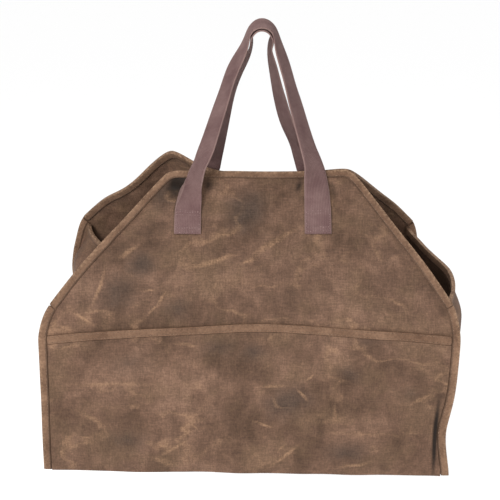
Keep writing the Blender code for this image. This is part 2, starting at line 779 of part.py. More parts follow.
def main():
    for thing in list(bpy.data.objects):
        bpy.data.objects.remove(thing, do_unlink=True)
    canvas = ((0.135, 0.082, 0.048), 0.80)
    tape = ((0.115, 0.072, 0.045), 0.85)
    webbing = ((0.150, 0.090, 0.082), 0.90)
    cloth_strip(canvas)
    outer_layer(canvas)
    band("front_band", BAND_TOP, BAND_LOW, tape)
    band("rear_band", LAST_ROW - BAND_TOP, LAST_ROW - BAND_LOW, tape)
    edge_tape("front_rim_tape", rim_numbers(-1), 0.0, CLOTH, tape)
    edge_tape("rear_rim_tape", rim_numbers(1), 0.0, CLOTH, tape)
    for side, word in ((-1, "left"), (1, "right")):
        gusset(word + "_gusset", side, canvas)
        gusset_tape(word + "_gusset_tape", side, tape)
        edge_tape(word + "_seam_tape", seam_numbers(side), -GAP - CLOTH, CLOTH, tape)
    handle("front_handle", -1, webbing)
    handle("rear_handle", 1, webbing)


main()
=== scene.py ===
# %% [markdown]
# A canvas log carrier, hanging from its two webbing handles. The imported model
# gives every piece its place. This lesson dresses it: each sheet of canvas, each
# folded tape and each strap is made finer and softer from the solid that stands
# for it, then gets its cloth, its thread and its wear.

# %% Load the frame
import math

import bmesh
import bpy
from mathutils import Matrix, Vector, noise
from mathutils.bvhtree import BVHTree
from mathutils.kdtree import KDTree


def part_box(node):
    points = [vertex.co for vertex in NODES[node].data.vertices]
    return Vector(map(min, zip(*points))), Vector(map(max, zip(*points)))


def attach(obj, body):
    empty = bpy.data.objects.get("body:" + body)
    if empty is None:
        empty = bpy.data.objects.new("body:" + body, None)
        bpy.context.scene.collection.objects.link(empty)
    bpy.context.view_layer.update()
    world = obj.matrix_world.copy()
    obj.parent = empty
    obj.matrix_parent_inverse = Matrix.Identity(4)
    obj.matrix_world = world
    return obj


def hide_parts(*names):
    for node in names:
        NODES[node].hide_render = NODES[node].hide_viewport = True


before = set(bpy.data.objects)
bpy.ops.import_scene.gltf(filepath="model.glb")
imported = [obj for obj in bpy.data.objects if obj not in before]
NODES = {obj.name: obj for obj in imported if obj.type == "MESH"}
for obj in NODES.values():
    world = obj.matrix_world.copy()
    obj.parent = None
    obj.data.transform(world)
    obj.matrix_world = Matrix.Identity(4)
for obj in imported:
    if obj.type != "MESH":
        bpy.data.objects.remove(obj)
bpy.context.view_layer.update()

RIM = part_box("front_rim_tape")[1][2]
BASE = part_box("left_seam_tape")[0][2]
print("pieces:", len(NODES), "rim", round(RIM, 3), "base", round(BASE, 3))

# %% [markdown]
# The camera looks at the front from a little above, as in the photograph. Its
# lens is worked out from the focal length in pixels on a frame of 500 pixels.

# %% Camera
FRAME_SIDE = 500
FOCAL = 924
PITCH = math.radians(18)
AIM = Vector((-0.017, -0.146, -0.284))
DISTANCE = 1.25

lens = bpy.data.cameras.new("camera")
lens.sensor_width = 36
lens.lens = FOCAL / FRAME_SIDE * lens.sensor_width
camera = bpy.data.objects.new("camera", lens)
camera.location = AIM - DISTANCE * Vector((0, math.cos(PITCH), -math.sin(PITCH)))
camera.rotation_euler = (math.radians(90) - PITCH, 0, 0)
bpy.context.collection.objects.link(camera)
bpy.context.scene.camera = camera
print("camera at", [round(value, 3) for value in camera.location])

# %% [markdown]
# Canvas that hangs is never quite smooth. It could be simulated, but the layers
# here lie half a millimetre apart and would pass through each other. So one field
# of slack is used instead: it says how far the cloth gives at a place, and every
# layer that lies there follows it together. Soft waves of noise cover every wall.
# Three short tables add the hollows and the bulges that the photograph shows, each
# as a smooth bump. Under the rims the slack fades out, because the straps pull there.

# %% Slack of the cloth
LONG_WAVE, SHORT_WAVE = 0.125, 0.058
LONG_GIVE, SHORT_GIVE = 0.0026, 0.0012
# the seed of each wall's waves
FRONT, REAR, LEFT, RIGHT, UNDER = 3.0, 17.0, 31.0, 43.0, 57.0
# distances between which the slack grows from nothing to all of it
BELOW_RIM = (0.004, 0.034)
FROM_MIDDLE = (0.010, 0.050)
TOWARDS_END = (0.180, 0.240)
SEAM_ALONG_Y, SEAM_ALONG_X = (0.115, 0.160), (0.200, 0.260)
# distances between which the slack of an end wall, and of the base, fades out
TOWARDS_SEAM = (0.100, 0.150)
ABOVE_BASE = (0.010, 0.060)
HOLLOWS = (
    # x, z, half width, half height, outward: where the front is drawn in or stands out
    (-0.124, -0.224, 0.018, 0.024, -0.0160),
    (-0.076, -0.222, 0.016, 0.020, -0.0040),
    (0.036, -0.218, 0.016, 0.020, -0.0035),
    (0.103, -0.228, 0.016, 0.022, -0.0045),
    (-0.150, -0.240, 0.030, 0.030, -0.0030),
    (0.246, -0.545, 0.016, 0.050, -0.0055),
    (0.222, -0.530, 0.020, 0.060, 0.0020),
    (-0.213, -0.473, 0.090, 0.018, 0.0012),
    (0.120, -0.560, 0.060, 0.022, 0.0015),
    (-0.040, -0.300, 0.060, 0.025, 0.0020),
)
END_HOLLOWS = (
    # side, y, z, half depth, half height, inward: where an end wall is drawn in
    (-1, -0.010, -0.352, 0.100, 0.048, 0.0060),
    (-1, 0.090, -0.412, 0.060, 0.062, 0.0150),
)
SEAM_BULGES = (
    # side in x, side in y, z, half height, outward: where an end seam stands out
    (-1, 1, -0.425, 0.045, 0.0120),
)


def ease(value, low, high):
    """0 below low, 1 above high, and a smooth rise between."""
    t = max(0.0, min(1.0, (value - low) / (high - low)))
    return t * t * (3 - 2 * t)


def waves(u, v, seed):
    """Two lengths of soft wave over a plane; each seed gives other waves."""
    long_wave = noise.noise(Vector((u / LONG_WAVE, v / LONG_WAVE, seed)))
    short_wave = noise.noise(Vector((u / SHORT_WAVE, v / SHORT_WAVE, seed + 9)))
    return LONG_GIVE * long_wave + SHORT_GIVE * short_wave


def bump(u, v):
    """1 in the middle of a mark and falling off smoothly, for distances in its own sizes."""
    return math.exp(-u * u - v * v)


def slack(point):
    """How far the cloth gives at a point."""
    x, y, z = point
    hung = ease(RIM - z, *BELOW_RIM)
    face = ease(abs(y), *FROM_MIDDLE) * hung
    end = ease(abs(x), *TOWARDS_END) * (1 - ease(abs(y), *TOWARDS_SEAM)) * hung
    low = 1 - ease(z - BASE, *ABOVE_BASE)
    outward = waves(x, z, FRONT if y < 0 else REAR)
    if y < 0:
        for hollow_x, hollow_z, half_width, half_height, depth in HOLLOWS:
            outward += depth * bump((x - hollow_x) / half_width, (z - hollow_z) / half_height)
    sideways = waves(y, z, LEFT if x < 0 else RIGHT)
    for side, end_y, end_z, half_depth, half_height, depth in END_HOLLOWS:
        if side * x > 0:
            sideways -= depth * bump((y - end_y) / half_depth, (z - end_z) / half_height)
    give = Vector((math.copysign(end, x) * sideways, math.copysign(face, y) * outward,
                   low * waves(x, y, UNDER)))
    for side_x, side_y, bulge_z, half_height, depth in SEAM_BULGES:
        seam = ease(side_y * y, *SEAM_ALONG_Y) * ease(side_x * x, *SEAM_ALONG_X)
        give.x += side_x * seam * depth * bump(0.0, (z - bulge_z) / half_height)
    return give


print("slack beside the left strap, mm:", [round(v * 1000, 1) for v in slack((-0.127, -0.06, -0.226))])

# %% [markdown]
# A CAD solid is loose triangles. A copy is merged, its triangles are paired into
# quads, its right-angled edges get a crease, and a Subdivision Surface rounds the
# rest. The crease says how tightly each edge is folded.

# %% Soft copies of the solids
MERGE = 0.00001
RIGHT_ANGLE = math.radians(62)       # folds sharper than this keep a crease
PAIR_ANGLE = math.radians(40)        # two triangles that bend less than this become a quad
PAIR_SHAPE = math.radians(110)
SHADE_ANGLE = math.radians(50)
FINENESS = 2                         # levels of subdivision


def quads(node):
    """A merged copy of a CAD piece, in quads."""
    bm = bmesh.new()
    bm.from_mesh(NODES[node].data)
    bmesh.ops.remove_doubles(bm, verts=bm.verts, dist=MERGE)
    bmesh.ops.join_triangles(bm, faces=bm.faces, angle_face_threshold=PAIR_ANGLE,
                             angle_shape_threshold=PAIR_SHAPE)
    return bm


def right_angles(bm):
    """The edges where the cloth is folded over or cut off."""
    return [edge for edge in bm.edges if edge.is_manifold and edge.calc_face_angle() > RIGHT_ANGLE]


def soften(bm, name, crease):
    """The finished piece: creased, subdivided, and slack where the cloth gives."""
    layer = bm.edges.layers.float.new("crease_edge")
    for edge in right_angles(bm):
        edge[layer] = crease
    cage = bpy.data.meshes.new(name)
    bm.to_mesh(cage)
    bm.free()
    piece = bpy.data.objects.new(name, cage)
    bpy.context.collection.objects.link(piece)
    subdivision = piece.modifiers.new("Subdivision", "SUBSURF")
    subdivision.levels = subdivision.render_levels = FINENESS
    evaluated = piece.evaluated_get(bpy.context.evaluated_depsgraph_get())
    fine = bpy.data.meshes.new_from_object(evaluated)
    piece.modifiers.clear()
    piece.data = fine
    for vertex in fine.vertices:
        vertex.co += slack(vertex.co)
    # the soft piece has no use for these two, which came with its cage
    for extra in ("custom_normal", "crease_edge"):
        if extra in fine.attributes:
            fine.attributes.remove(fine.attributes[extra])
    fine.materials.clear()
    fine.shade_smooth()
    fine.set_sharp_from_angle(angle=SHADE_ANGLE)
    return piece


print("solids that are softened:", len(NODES))

# %% [markdown]
# The body is one long sheet of canvas: front, base and rear. A second sheet
# covers its lower part, and a gusset closes each end. A sheet's cut edge is square,
# so its crease is full. A gusset is turned over along its flanges, which is rounder.

# %% Canvas sheets
CUT_EDGE, FLANGE_FOLD = 1.0, 0.85
strip = soften(quads("cloth_strip"), "canvas_strip", CUT_EDGE)
layer = soften(quads("outer_layer"), "canvas_outer_layer", CUT_EDGE)
gussets = {side: soften(quads(side + "_gusset"), "canvas_gusset_" + side, FLANGE_FOLD)
           for side in ("left", "right")}
print("strip faces:", len(strip.data.polygons), "layer faces:", len(layer.data.polygons))

# %% [markdown]
# A binding is a strip of the same cloth folded over an edge and stitched through.
# The solid is a section swept along the edge, so the walk starts at one end: round
# the end ring of corners, then along each long edge, straight on where four quads
# meet. The lines tell where the fold lies, where the hem lies and where to sew.

# %% Long edges of a swept solid
def walk(corner, edge):
    """Corners along an edge and straight on, as long as four quads meet."""
    line = [corner, edge.other_vert(corner)]
    while len(line[-1].link_edges) == 4:
        beside = set(edge.link_faces)
        ahead = [other for other in line[-1].link_edges if not beside & set(other.link_faces)]
        if not ahead:
            break
        edge = ahead[0]
        line.append(edge.other_vert(line[-1]))
        if line[-1] == corner:
            break
    return line


def end_ring(bm):
    """The corners round one end in order, each with its long edge."""
    start = next(vert for vert in bm.verts if len(vert.link_edges) == 3)
    edge = max(start.link_edges, key=lambda edge: len(walk(start, edge)))
    face, corner, ring = edge.link_faces[0], start, []
    while not ring or corner != start:
        ring.append((corner, edge))
        side = next(e for e in corner.link_edges if e in face.edges[:] and e != edge)
        corner = side.other_vert(corner)
        edge = next(e for e in corner.link_edges if e in face.edges[:] and e != side)
        face = next(f for f in edge.link_faces if f != face)
    return ring


def long_lines(bm):
    """The corners along each long edge, in order round the section."""
    lines = [walk(corner, edge) for corner, edge in end_ring(bm)]
    length = min(len(line) for line in lines)
    return [line[:length] for line in lines]


def width(lines, i):
    """How far the next long edge is from this one, at the end."""
    return (lines[i][0].co - lines[(i + 1) % len(lines)][0].co).length


def hems_and_folds(bm):
    """For each outer face of a folded tape, the lines of its hem and of its fold."""
    lines = long_lines(bm)
    count = len(lines)
    pairs = []
    for i in sorted(range(count), key=lambda i: -width(lines, i))[:2]:
        one, other = lines[i], lines[(i + 1) % count]
        before, after = width(lines, (i - 1) % count), width(lines, (i + 1) % count)
        pairs.append((one, other) if before < after else (other, one))
    return pairs


sample = quads("front_rim_tape")
print("long edges of the front rim tape:", len(long_lines(sample)))
sample.free()

# %% [markdown]
# The rim tapes stop a few millimetres short of the seam tapes in the solids. Here
# their ends are drawn out until the two all but meet, as sewn bindings do. The
# corners of each hem and each fold are marked with an attribute, which the
# subdivision spreads into a soft band for the material to use.

# %% Bindings and bands
END_REACH = 0.0026
TAPE_FOLD, BAND_FOLD = 0.55, 0.7
TAPES = {
    "front_rim_tape": "binding_front_rim",
    "rear_rim_tape": "binding_rear_rim",
    "left_seam_tape": "binding_left_seam",
    "right_seam_tape": "binding_right_seam",
    "left_gusset_tape": "binding_left_gusset",
    "right_gusset_tape": "binding_right_gusset",
}


def draw_out_ends(bm):
    """Moves both ends of a tape outwards along its own direction."""
    moves = []
    for line in long_lines(bm):
        for tip, inner in (line[:2], line[:-3:-1]):
            moves.append((tip, (tip.co - inner.co).normalized() * END_REACH))
    for tip, move in moves:
        tip.co += move


bindings, thread_lines = {}, {}
for node, name in TAPES.items():
    tape = quads(node)
    fold_layer = tape.verts.layers.float.new("fold")
    hem_layer = tape.verts.layers.float.new("hem")
    faces = hems_and_folds(tape)
    if "rim" in node:
        draw_out_ends(tape)
    for hem, fold in faces:
        for vert in hem:
            vert[hem_layer] = 1.0
        for vert in fold:
            vert[fold_layer] = 1.0
    thread_lines[node] = [([vert.co.copy() for vert in hem], [vert.co.copy() for vert in fold])
                          for hem, fold in faces]
    bindings[node] = soften(tape, name, TAPE_FOLD)
    print(name, "outer faces:", len(faces), "stations:", len(faces[0][0]))

bands = {node: soften(quads(node), "bound_edge_" + node.split("_")[0], BAND_FOLD)
         for node in ("front_band", "rear_band")}

# %% [markdown]
# Each handle is flat webbing. A strap turns over its own edge as it rises, a little
# more here than in its solid, and lies tilted where it is held. It could be bent
# with a modifier along a curve, but the solid already has the route, so its rings
# of corners are turned about their own middle. The ribs and selvages follow the
# strap, which needs its own UV map: across it and along it, both in metres.

# %% Handles
SAMPLE_STEP = 0.002
STRAP_EDGE = 0.6


def strap_path(bm):
    """Stations along a strap: distance, middle, across (half width) and direction."""
    rings, seen = [[corner for corner, _ in end_ring(bm)]], set()
    while rings[-1]:
        seen.update(rings[-1])
        ahead = {edge.other_vert(vert) for vert in rings[-1] for edge in vert.link_edges}
        rings.append(list(ahead - seen))
    middles, acrosses = [], []
    for ring in rings[:-1]:
        middle = sum((vert.co for vert in ring), Vector()) / len(ring)
        if acrosses:
            last = acrosses[-1]
        else:
            last = max((vert.co - middle for vert in ring), key=lambda offset: offset.length)
        order = sorted(ring, key=lambda vert: (vert.co - middle).dot(last))
        acrosses.append((order[-1].co + order[-2].co - order[0].co - order[1].co) / 4)
        middles.append(middle)
    path, travelled = [], 0.0
    for i in range(len(middles) - 1):
        length = (middles[i + 1] - middles[i]).length
        direction = (middles[i + 1] - middles[i]).normalized()
        for k in range(max(1, round(length / SAMPLE_STEP))):
            t = k * SAMPLE_STEP / length
            middle = middles[i].lerp(middles[i + 1], t)
            across = acrosses[i].lerp(acrosses[i + 1], t)
            path.append((travelled + t * length, middle, across, direction))
        travelled += length
    return path


def near_path(path):
    """A tree that finds the station of a path that is nearest to a point."""
    tree = KDTree(len(path))
    for i, (_, middle, _, _) in enumerate(path):
        tree.insert(middle, i)
    tree.balance()
    return tree


def lay_strap_uv(piece, path):
    """UV of a strap: metres across from its middle, and metres along."""
    tree = near_path(path)
    places = []
    for vertex in piece.data.vertices:
        _, i, _ = tree.find(vertex.co)
        distance, middle, across, direction = path[i]
        offset = vertex.co - middle
        places.append((offset.dot(across.normalized()), distance + offset.dot(direction)))
    uv = piece.data.uv_layers.new(name="strap")
    for loop in piece.data.loops:
        uv.data[loop.index].uv = places[loop.vertex_index]


TURNS = {
    # place along the strap, reach on both sides, turn in degrees
    "front_handle": ((0.080, 0.050, -26), (0.262, 0.055, 14), (0.384, 0.055, 14)),
    "rear_handle": ((0.262, 0.050, -9), (0.380, 0.050, -6)),
}
TOP_TILT = 0.27                      # rise per metre towards the back, where the straps are held
TILT_HEIGHTS = (-0.050, -0.008)      # heights between which the tilt grows


def turn_strap(bm, path, turns):
    """Turns a strap about its own middle here and there, and tilts its top."""
    tree = near_path(path)
    for vert in bm.verts:
        _, i, _ = tree.find(vert.co)
        distance, middle, _, direction = path[i]
        angle = sum(math.radians(turn) * ease(1 - abs(distance - at) / reach, 0, 1)
                    for at, reach, turn in turns)
        vert.co = middle + Matrix.Rotation(angle, 3, direction) @ (vert.co - middle)
        vert.co.z += TOP_TILT * vert.co.y * ease(vert.co.z, *TILT_HEIGHTS)


handles, paths = {}, {}
for node in ("front_handle", "rear_handle"):
    bar = quads(node)
    turn_strap(bar, strap_path(bar), TURNS[node])
    paths[node] = strap_path(bar)
    handles[node] = soften(bar, "webbing_" + node, STRAP_EDGE)
    lay_strap_uv(handles[node], paths[node])
    print(node, "length along the strap:", round(paths[node][-1][0], 3))

# %% [markdown]
# Thread could be painted on, but then it would show no relief. Here it is real
# geometry: each stitch is a small flattened bead, half sunk in the cloth. A row is
# laid along a line and snapped to the surface of the piece, so it follows each fold.

# %% Stitches
STITCH, STITCH_GAP = 0.0034, 0.0011
THREAD, FLATTENED = 0.00042, 0.8     # half width, and half height as a share of it
BEAD_SIDES, BEAD_RINGS = 6, 4
HEM_INSET = 0.0022
stitch_rows = []


def surface(piece):
    """A tree that finds the nearest place on a piece."""
    bm = bmesh.new()
    bm.from_mesh(piece.data)
    tree = BVHTree.FromBMesh(bm)
    bm.free()
    return tree


def spaced(points, step):
    """Points at even steps along a line, each with the direction there."""
    places, carried = [], step / 2
    for a, b in zip(points, points[1:]):
        length = (b - a).length
        while carried < length:
            places.append((a.lerp(b, carried / length), (b - a).normalized()))
            carried += step
        carried -= length
    return places


def sew(points, tree, stitch=STITCH, gap=STITCH_GAP):
    """One row of stitches along a line, on the surface."""
    bm = bmesh.new()
    for point, direction in spaced(points, stitch + gap):
        place, normal, _, _ = tree.find_nearest(point + slack(point))
        side = normal.cross(direction).normalized()
        along = side.cross(normal).normalized()
        turn = Matrix((along, side, normal)).transposed().to_4x4()
        size = Matrix.Diagonal((stitch / 2, THREAD, THREAD * FLATTENED, 1))
        bmesh.ops.create_uvsphere(bm, u_segments=BEAD_SIDES, v_segments=BEAD_RINGS, radius=1,
                                  matrix=Matrix.Translation(place) @ turn @ size)
    mesh = bpy.data.meshes.new("row")
    bm.to_mesh(mesh)
    bm.free()
    stitch_rows.append(mesh)


def inset_line(hem, fold, inset):
    """The line at an inset from the hem, towards the fold."""
    return [a + (b - a).normalized() * inset for a, b in zip(hem, fold)]


for node, faces in thread_lines.items():
    tree = surface(bindings[node])
    for hem, fold in faces:
        sew(inset_line(hem, fold, HEM_INSET), tree)
print("rows on the bindings:", len(stitch_rows))

# %% [markdown]
# The bands carry a row near each edge. A strap end carries the load, so it is sewn
# down each side, with four rows across its bottom and three where the strap leaves
# the cloth. The rows across are counted in the same small steps as the rows down.

# %% Stitches of the bands and the strap ends
BAND_INSET = 0.0022
PATCH_LOW = 0.0025                   # the lowest row, above the end of the strap
PATCH_HALF = 0.0165                  # the rows down the sides, from the middle of the strap
ROW_STEP = 0.0024
PATCH_ROWS = 14
CROSS_ROWS = (0, 1, 2, 3, 11, 12, 13)
SIDE_STITCH = (0.0026, 0.0008)
CROSS_STITCH = (0.0022, 0.0014)
PROUD = 0.001


def band_lines(node):
    """The upper and the lower long edge of a band's outer face."""
    bm = quads(node)
    found = [[vert.co.copy() for vert in line] for line in long_lines(bm)]
    bm.free()
    outer = sorted(found, key=lambda line: -sum(abs(point.y) for point in line))[:2]
    return sorted(outer, key=lambda line: -line[0].z)


for node, piece in bands.items():
    tree = surface(piece)
    upper, lower = band_lines(node)
    sew(inset_line(upper, lower, BAND_INSET), tree)
    sew(inset_line(lower, upper, BAND_INSET), tree)
canvas_rows = len(stitch_rows)


def on_patch(path, from_start, panel, up, across):
    """A point just outside a sewn strap end, up from its end and across it."""
    stations = path if from_start else path[::-1]
    end = stations[0][0]
    _, middle, half, direction = min(stations, key=lambda s: abs(abs(s[0] - end) - up))
    outward = direction.cross(half).normalized()
    if outward.y * panel < 0:
        outward = -outward
    return middle + half.normalized() * across + outward * PROUD


for node, panel in (("front_handle", -1), ("rear_handle", 1)):
    tree = surface(handles[node])
    for from_start in (True, False):
        grid = [[on_patch(paths[node], from_start, panel, PATCH_LOW + i * ROW_STEP, across)
                 for across in (-PATCH_HALF, 0, PATCH_HALF)] for i in range(PATCH_ROWS)]
        sew([row[0] for row in grid], tree, *SIDE_STITCH)
        sew([row[-1] for row in grid], tree, *SIDE_STITCH)
        for i in CROSS_ROWS:
            sew(grid[i], tree, *CROSS_STITCH)


def gather(rows, name):
    """All rows of one thread as a single piece."""
    bm = bmesh.new()
    for row in rows:
        bm.from_mesh(row)
    mesh = bpy.data.meshes.new(name)
    bm.to_mesh(mesh)
    bm.free()
    mesh.shade_smooth()
    piece = bpy.data.objects.new(name, mesh)
    bpy.context.collection.objects.link(piece)
    print(name, "rows:", len(rows), "faces:", len(mesh.polygons))
    return piece


thread = gather(stitch_rows[:canvas_rows], "sewing_thread_canvas")
strap_thread = gather(stitch_rows[canvas_rows:], "sewing_thread_straps")

# %% [markdown]
# A material starts from what the real thing is. One small function adds a node,
# with its settings, values and links, and another turns an sRGB hex colour into
# the linear numbers that the shader works with.

# %% Helpers for materials
FAINT_SHINE = 0.16                   # cotton and wax reflect little
SHEEN_TINT = "#c9b5a4"


def linear(code):
    """Linear RGBA from an sRGB hex code."""
    parts = [int(code[i:i + 2], 16) / 255 for i in (1, 3, 5)]
    return tuple(p / 12.92 if p <= 0.04045 else ((p + 0.055) / 1.055) ** 2.4 for p in parts) + (1.0,)


def add(tree, kind, inputs=None, **settings):
    """A node with its settings; each input takes a value or another node's socket."""
    node = tree.nodes.new(kind)
    for key, value in settings.items():
        setattr(node, key, value)
    for key, value in (inputs or {}).items():
        if isinstance(value, bpy.types.NodeSocket):
            tree.links.new(value, node.inputs[key])
        else:
            node.inputs[key].default_value = value
    return node


def new_material(name, roughness, sheen):
    """A matt cloth with a faint sheen: the material, its tree and its shader."""
    material = bpy.data.materials.new(name)
    material.use_nodes = True
    shader = material.node_tree.nodes["Principled BSDF"]
    shader.inputs["Roughness"].default_value = roughness
    shader.inputs["Specular IOR Level"].default_value = FAINT_SHINE
    shader.inputs["Sheen Weight"].default_value = sheen
    shader.inputs["Sheen Roughness"].default_value = 0.45
    shader.inputs["Sheen Tint"].default_value = linear(SHEEN_TINT)
    return material, material.node_tree, shader


print("white in linear light:", linear("#ffffff"))

# %% [markdown]
# A cloth's colour is built in steps, and a few steps come back in every material:
# a value stretched to a range, a product, a tint, a cloud of noise, a ramp between
# two tones. Each is a short function. Noise is given in features per metre, so 14
# makes a cloud about every 70 mm.

# %% Steps of a material
NOISE_LOW, NOISE_HIGH = 0.32, 0.68   # nearly all of a noise lies between these


def spread(tree, value, low, high, to_low=0.0, to_high=1.0):
    """A value stretched from one range to another and held there."""
    node = add(tree, "ShaderNodeMapRange", {0: value, 1: low, 2: high, 3: to_low, 4: to_high},
               interpolation_type="SMOOTHSTEP")
    return node.outputs[0]


def combined(tree, one, other, operation):
    """Two values brought together by one operation of mathematics."""
    return add(tree, "ShaderNodeMath", {0: one, 1: other}, operation=operation).outputs[0]


def tinted(tree, color, factor, tint, blend="MIX"):
    """A colour mixed towards a tint, or multiplied by a grey value, by a factor."""
    mix = add(tree, "ShaderNodeMix", {0: factor, 6: color, 7: tint}, data_type="RGBA", blend_type=blend)
    return mix.outputs[2]


def shaded(tree, color, value, low, high, darkest, brightest):
    """A colour made darker and brighter by a value."""
    return tinted(tree, color, 1.0, spread(tree, value, low, high, darkest, brightest), "MULTIPLY")


def cloud(tree, place, scale, detail, roughness=0.6):
    """Noise with so many features per metre."""
    return add(tree, "ShaderNodeTexNoise", {"Vector": place, "Scale": scale, "Detail": detail,
                                            "Roughness": roughness}).outputs[0]


def ramp(tree, value, dark, light, middle=None):
    """A colour between two tones by a noise value, over a middle tone if one is given."""
    node = add(tree, "ShaderNodeValToRGB", {0: value})
    stops = node.color_ramp.elements
    stops[0].position = NOISE_LOW
    stops[0].color = linear(dark)
    stops[1].position = NOISE_HIGH
    stops[1].color = linear(light)
    if middle:
        stops.new(0.50).color = linear(middle)
    return node.outputs[0]


def relief(tree, height, strength, distance, normal=None):
    """A bump of so many metres, over another relief if one is given."""
    inputs = {"Height": height, "Strength": strength, "Distance": distance}
    if normal:
        inputs["Normal"] = normal
    return add(tree, "ShaderNodeBump", inputs).outputs[0]


print("a ramp runs from", NOISE_LOW, "to", NOISE_HIGH)

# %% [markdown]
# Where waxed canvas has been folded, the wax breaks up and leaves a pale tan line.
# Where the wax lies thick, the cloth stays dark and a little green. These could be
# noise alone, but the eye finds the largest ones at once, so the marks of the front
# are listed in tables. The rear has the same creases and patches, turned round.
# Only the painted shade, a near black tint in the hollows beside the straps and in
# the groove of the seam, stays on the front.

# %% Creases, dark patches and painted shade
THROUGH = 9.0                        # a mark reaches through the whole bag, in metres
MIDDLE = 0.002                       # half width of the change from front to rear
REAR_LIFT = 0.035                    # the marks behind are taken from a little higher up
CREASES = (
    # x, z, half length, half width, turn in degrees, strength
    (-0.224, -0.338, 0.034, 0.0050, 69, 0.75),
    (-0.186, -0.299, 0.022, 0.0045, 25, 0.70),
    (-0.069, -0.311, 0.050, 0.0050, 14, 0.90),
    (-0.018, -0.311, 0.020, 0.0040, 10, 0.75),
    (-0.139, -0.356, 0.016, 0.0035, 57, 1.00),
    (-0.150, -0.370, 0.018, 0.0030, 35, 0.70),
    (-0.244, -0.378, 0.020, 0.0040, -31, 0.95),
    (-0.156, -0.346, 0.016, 0.0030, 0, 0.75),
    (-0.043, -0.340, 0.055, 0.0220, 5, 0.35),
    (0.057, -0.497, 0.018, 0.0035, -55, 1.00),
    (0.067, -0.469, 0.012, 0.0030, 45, 0.90),
    (0.017, -0.483, 0.040, 0.0040, 0, 0.65),
    (0.004, -0.540, 0.024, 0.0035, -16, 0.85),
    (0.031, -0.587, 0.042, 0.0050, 38, 0.90),
    (0.028, -0.573, 0.012, 0.0030, 44, 0.70),
    (0.224, -0.498, 0.024, 0.0040, 35, 0.85),
    (0.108, -0.531, 0.022, 0.0110, 20, 0.45),
    (0.133, -0.600, 0.036, 0.0040, 10, 0.80),
    (0.145, -0.554, 0.085, 0.0080, -3, 0.50),
    (-0.213, -0.473, 0.105, 0.0050, 0, 0.55),
    (-0.122, -0.570, 0.032, 0.0040, 30, 0.85),
    (-0.111, -0.552, 0.015, 0.0030, 32, 0.70),
    (-0.098, -0.536, 0.016, 0.0032, -50, 0.70),
    (0.014, -0.291, 0.064, 0.0065, 29, 0.80),
    (-0.106, -0.419, 0.026, 0.0040, -8, 0.60),
    (0.162, -0.300, 0.032, 0.0060, -60, 0.45),
)
DARK_PATCHES = (
    # the same columns
    (-0.169, -0.314, 0.030, 0.022, 0, 0.80),
    (-0.200, -0.346, 0.046, 0.034, 20, 0.60),
    (-0.116, -0.370, 0.034, 0.024, 0, 0.60),
    (-0.024, -0.250, 0.048, 0.038, 20, 0.85),
    (-0.142, -0.233, 0.034, 0.030, 0, 0.75),
    (0.036, -0.506, 0.052, 0.038, 10, 0.85),
    (-0.013, -0.433, 0.032, 0.024, 0, 0.60),
    (0.120, -0.579, 0.056, 0.024, 0, 0.65),
    (0.148, -0.412, 0.044, 0.022, 0, 0.45),
    (0.124, -0.462, 0.032, 0.026, 0, 0.50),
    (0.207, -0.491, 0.030, 0.022, 0, 0.40),
    (-0.192, -0.558, 0.052, 0.028, 0, 0.55),
    (-0.185, -0.446, 0.048, 0.026, 0, 0.45),
    (-0.059, -0.424, 0.046, 0.022, 0, 0.50),
)
PAINTED_SHADE_MARKS = (
    # the same columns: painted shade in the hollows beside the straps under the rim, and in the groove of
    # the right seam
    (-0.119, -0.216, 0.036, 0.024, 55, 1.05),
    (-0.115, -0.238, 0.036, 0.012, 76, 1.00),
    (-0.077, -0.219, 0.020, 0.012, 90, 0.55),
    (0.053, -0.219, 0.018, 0.009, 70, 0.60),
    (0.102, -0.226, 0.020, 0.009, 100, 0.45),
    (0.2470, -0.556, 0.092, 0.0055, 89, 1.00),
)


def turned_round(tree, place):
    """The same place, but with left and right exchanged behind the bag, and the front's share."""
    split = add(tree, "ShaderNodeSeparateXYZ", {0: place})
    front = spread(tree, split.outputs[1], -MIDDLE, MIDDLE, 1.0, 0.0)
    sign = spread(tree, split.outputs[1], -MIDDLE, MIDDLE, 1.0, -1.0)
    lift = spread(tree, split.outputs[1], -MIDDLE, MIDDLE, 0.0, REAR_LIFT)
    up = combined(tree, split.outputs[2], lift, "ADD")
    joined = add(tree, "ShaderNodeCombineXYZ", {0: combined(tree, split.outputs[0], sign, "MULTIPLY"),
                                                1: split.outputs[1], 2: up})
    return joined.outputs[0], front


def marks(tree, place, rows):
    """One value that is high inside any of the marks, each a soft ellipse."""
    total = None
    for x, z, half_length, half_width, turn, strength in rows:
        local = add(tree, "ShaderNodeMapping", {
            "Vector": place, "Location": (x, 0, z), "Rotation": (0, math.radians(-turn), 0),
            "Scale": (half_length, THROUGH, half_width)}, vector_type="TEXTURE")
        mark = add(tree, "ShaderNodeTexGradient", {"Vector": local.outputs[0]}, gradient_type="SPHERICAL")
        scaled = combined(tree, mark.outputs[1], strength, "MULTIPLY")
        total = combined(tree, total, scaled, "MAXIMUM") if total else scaled
    return total


print("marks placed by hand:", len(CREASES) + len(DARK_PATCHES) + len(PAINTED_SHADE_MARKS))

# %% [markdown]
# Waxed canvas is a plain weave of thick cotton, soaked in wax. Its colour is built
# from large to small: clouds of brown, dark patches, pale creases, then threads and
# grain, and last the painted shade in the hollows of the front. One drift bends the
# clouds, patches and creases, so that none has a smooth edge. The relief has two
# scales, the weave and the shallow buckles of stiff cloth.

# %% Waxed canvas
WAVE_TURN = math.tau / 20            # a wave texture's scale times its period
THREAD_PITCH = 0.0021                # real threads are 0.8 mm apart, too fine to show
CANVAS_DARK, CANVAS_MIDDLE, CANVAS_LIGHT = "#493629", "#5c4537", "#6f5545"
CANVAS_OLIVE, CANVAS_DEEP, CANVAS_WORN = "#5f4a38", "#3b3029", "#94745a"
# the near black of the painted shade in the hollows of the front
CANVAS_SHADOW = "#0d0907"
